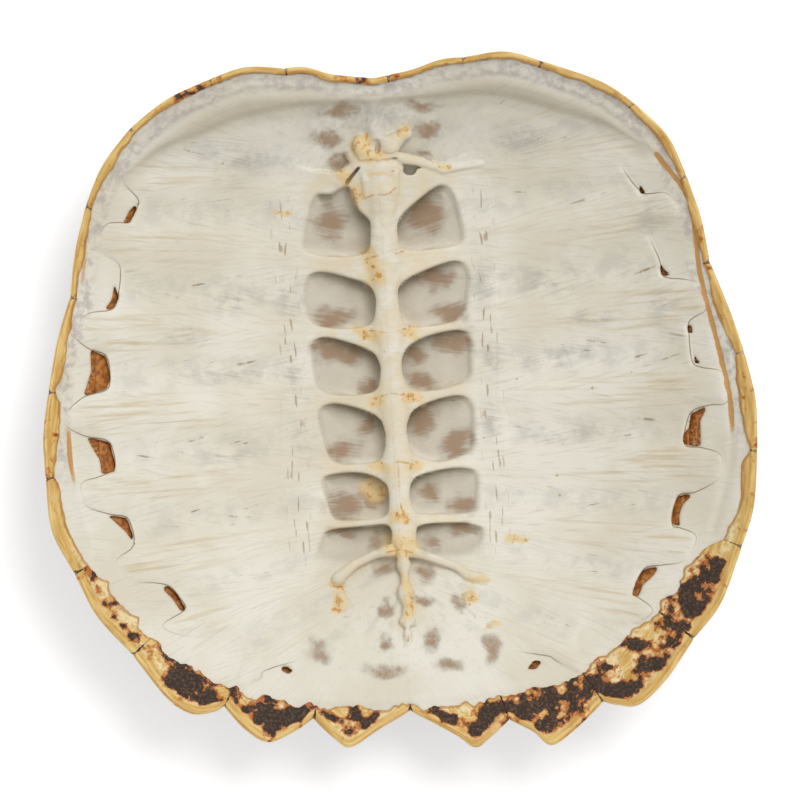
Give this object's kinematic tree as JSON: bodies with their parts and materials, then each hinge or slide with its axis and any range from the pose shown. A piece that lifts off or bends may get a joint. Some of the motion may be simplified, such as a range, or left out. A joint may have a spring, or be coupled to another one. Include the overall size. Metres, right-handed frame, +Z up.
{
  "type": "snapping turtle carapace",
  "caption": "Dried snapping turtle carapace lying on its back: a bowl of fused bone with ribs and backbone inside, roofed outside by plates of horn.",
  "frame": {"origin": "on the floor under the middle of the crown, where the shell rests on its back", "axes": "+Z up, out of the hollow; +Y towards the neck end; +X to the right looking down into the hollow"},
  "size_m": [0.3125, 0.305, 0.0829],
  "materials": {
    "bone": "dry, chalky, faintly grained bone",
    "rim_horn": "amber horn with dark flaking crust towards the tail",
    "back_horn": "dark ringed horn, worn at the keels"
  },
  "bodies": {
    "root": {"bony_carapace": "bone", "cervical_scute": "rim_horn", "marginal_scute_left_1": "rim_horn", "marginal_scute_left_2": "rim_horn", "marginal_scute_left_3": "rim_horn", "marginal_scute_left_4": "rim_horn", "marginal_scute_left_5": "rim_horn", "marginal_scute_left_6": "rim_horn", "marginal_scute_left_7": "rim_horn", "marginal_scute_left_8": "rim_horn", "marginal_scute_left_9": "rim_horn", "marginal_scute_left_10": "rim_horn", "marginal_scute_left_11": "rim_horn", "marginal_scute_left_12": "rim_horn", "marginal_scute_right_1": "rim_horn", "marginal_scute_right_2": "rim_horn", "marginal_scute_right_3": "rim_horn", "marginal_scute_right_4": "rim_horn", "marginal_scute_right_5": "rim_horn", "marginal_scute_right_6": "rim_horn", "marginal_scute_right_7": "rim_horn", "marginal_scute_right_8": "rim_horn", "marginal_scute_right_9": "rim_horn", "marginal_scute_right_10": "rim_horn", "marginal_scute_right_11": "rim_horn", "marginal_scute_right_12": "rim_horn", "vertebral_scute_1": "back_horn", "vertebral_scute_2": "back_horn", "vertebral_scute_3": "back_horn", "vertebral_scute_4": "back_horn", "vertebral_scute_5": "back_horn", "costal_scute_left_1": "back_horn", "costal_scute_left_2": "back_horn", "costal_scute_left_3": "back_horn", "costal_scute_left_4": "back_horn", "costal_scute_right_1": "back_horn", "costal_scute_right_2": "back_horn", "costal_scute_right_3": "back_horn", "costal_scute_right_4": "back_horn"}
  },
  "joints": []
}
